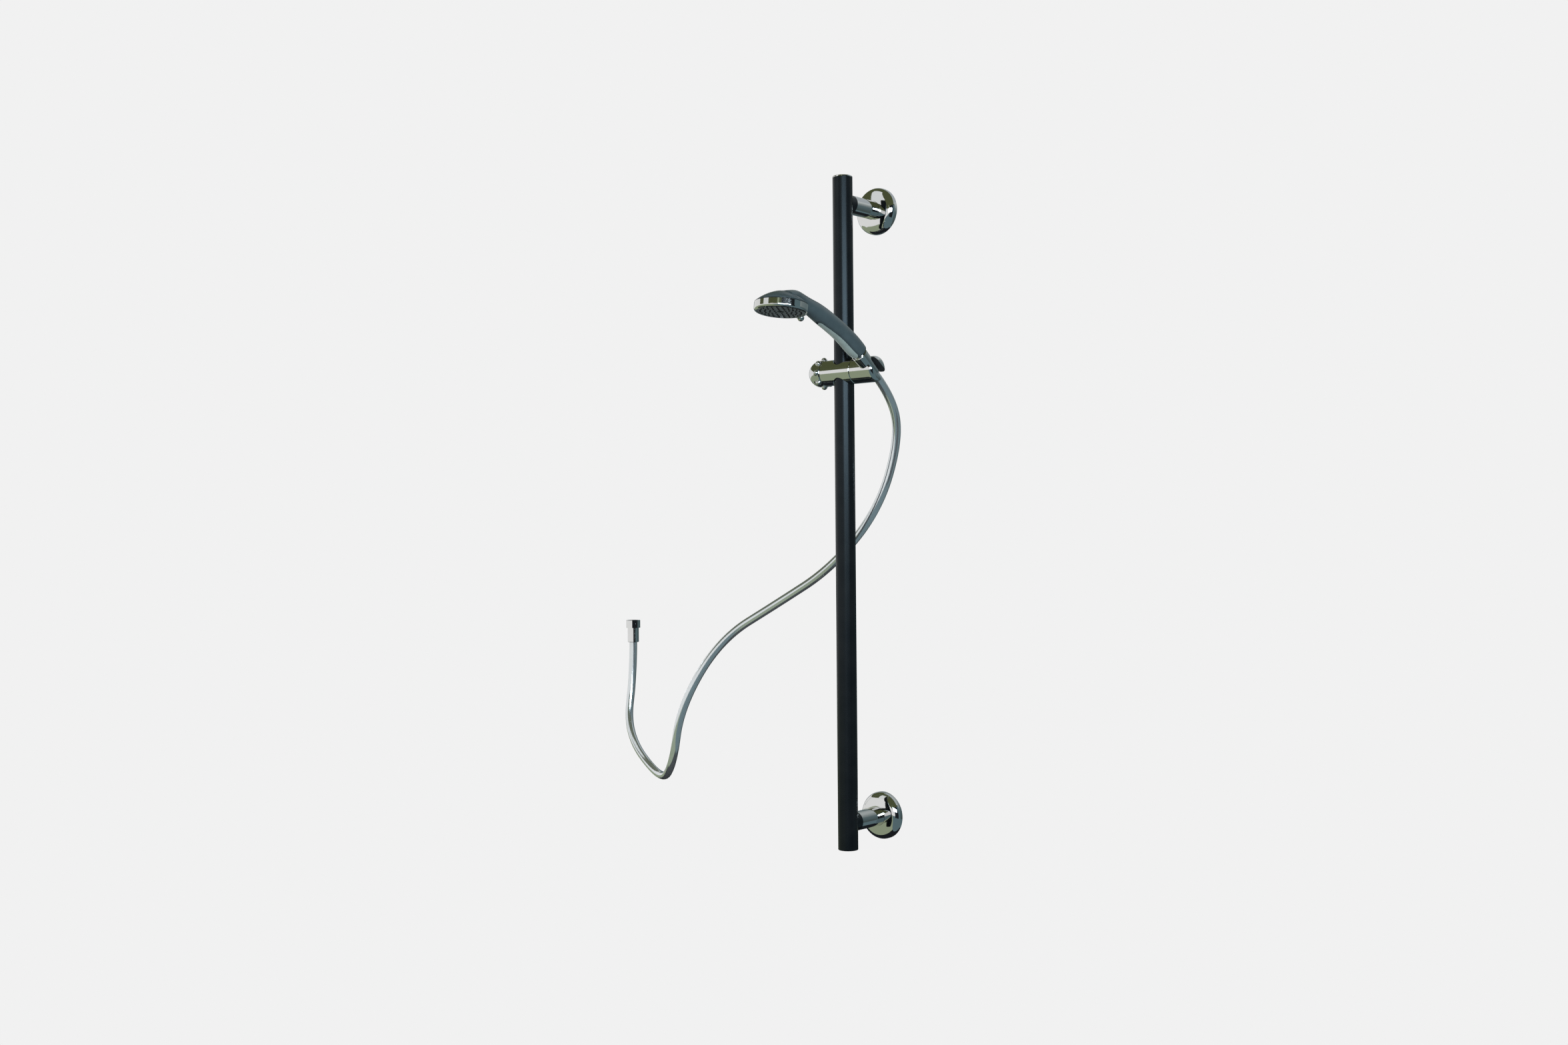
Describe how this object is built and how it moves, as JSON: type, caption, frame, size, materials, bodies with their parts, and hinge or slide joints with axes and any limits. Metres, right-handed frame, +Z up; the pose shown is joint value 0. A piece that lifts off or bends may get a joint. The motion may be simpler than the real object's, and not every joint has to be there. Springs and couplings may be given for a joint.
{
  "type": "shower slide rail",
  "caption": "Wall-mounted round shower rail on domed posts, with a clamping slider, a tilting handset holder, a hand shower with a turning spray selector and a flexible hose.",
  "frame": {"origin": "centre of the lower wall plate's back face, on the wall plane", "axes": "+X to the right seen from the room, +Y into the wall, +Z up the rail"},
  "size_m": [0.651, 0.3499, 1.072],
  "materials": {
    "black_coat": "satin black coat",
    "chrome": "polished",
    "chrome_plastic": "chrome plated",
    "handset_grey": "satin",
    "inlay": "polished",
    "dark_plastic": "fine matt grain",
    "pale_plastic": "moulded",
    "rubber": "moulded",
    "steel": "turned and plated",
    "brass": "turned",
    "hose_silver": "smooth satin silver"
  },
  "bodies": {
    "rail": {"rail_tube": "black_coat", "bottom_end_cap": "black_coat", "top_end_cap": "chrome", "lower_saddle": "black_coat", "lower_post": "chrome", "lower_wall_plate": "steel", "lower_cover": "chrome", "lower_rail_bolt": "steel", "lower_rail_nut": "steel", "lower_lock_washer": "steel", "lower_grub_screw": "steel", "upper_saddle": "black_coat", "upper_post": "chrome", "upper_wall_plate": "steel", "upper_cover": "chrome", "upper_rail_bolt": "steel", "upper_rail_nut": "steel", "upper_lock_washer": "steel", "upper_grub_screw": "steel"},
    "bush": {"slider_bush": "dark_plastic"},
    "slider": {"slider_body": "chrome", "knob_snap_ring": "steel", "pivot_screw": "steel", "tilt_washer": "dark_plastic", "hose": "hose_silver", "wall_nut": "chrome", "lower_ferrule": "brass", "lower_seal": "rubber"},
    "plunger": {"clamp_plunger": "steel", "brake_pad": "rubber"},
    "knob": {"clamp_knob": "chrome_plastic"},
    "holder": {"holder_body": "chrome", "cone_nut": "chrome", "upper_ferrule": "brass", "upper_seal": "rubber", "handset_nipple": "chrome", "handset_shell": "handset_grey", "grip_inlay": "inlay", "water_distributor": "pale_plastic", "face_screw": "black_coat"},
    "spray": {"selector_ring": "chrome_plastic", "spray_plate": "dark_plastic", "nozzle_mat": "rubber"}
  },
  "joints": [
    {"name": "slider_slide", "type": "slide", "parent": "rail", "child": "bush", "axis": [0, 0, 1], "range_m": [-0.671, 0.225], "deforming": ["hose"]},
    {"name": "slider_swivel", "type": "hinge", "parent": "bush", "child": "slider", "pos_m": [0, -0.094, 0.716], "axis": [0, 0, 1], "range_deg": [-35, 35], "deforming": ["hose"]},
    {"name": "knob_turn", "type": "hinge", "parent": "slider", "child": "knob", "pos_m": [-0.04, -0.094, 0.716], "axis": [-1, 0, 0], "range_deg": [0, 300]},
    {"name": "plunger_slide", "type": "slide", "parent": "slider", "child": "plunger", "axis": [-1, 0, 0], "range_m": [0, 0.00105]},
    {"name": "holder_tilt", "type": "hinge", "parent": "slider", "child": "holder", "pos_m": [0.025, -0.094, 0.716], "axis": [1, 0, 0], "range_deg": [-25, 30], "deforming": ["hose"]},
    {"name": "spray_turn", "type": "hinge", "parent": "holder", "child": "spray", "pos_m": [0.054, -0.31062, 0.78235], "axis": [0, 0.1149, 0.9934], "range_deg": [-30, 30]}
  ],
  "couplings": [
    {"joint": "plunger_slide", "follows": "knob_turn", "m_per_rad": 0.000199}
  ]
}
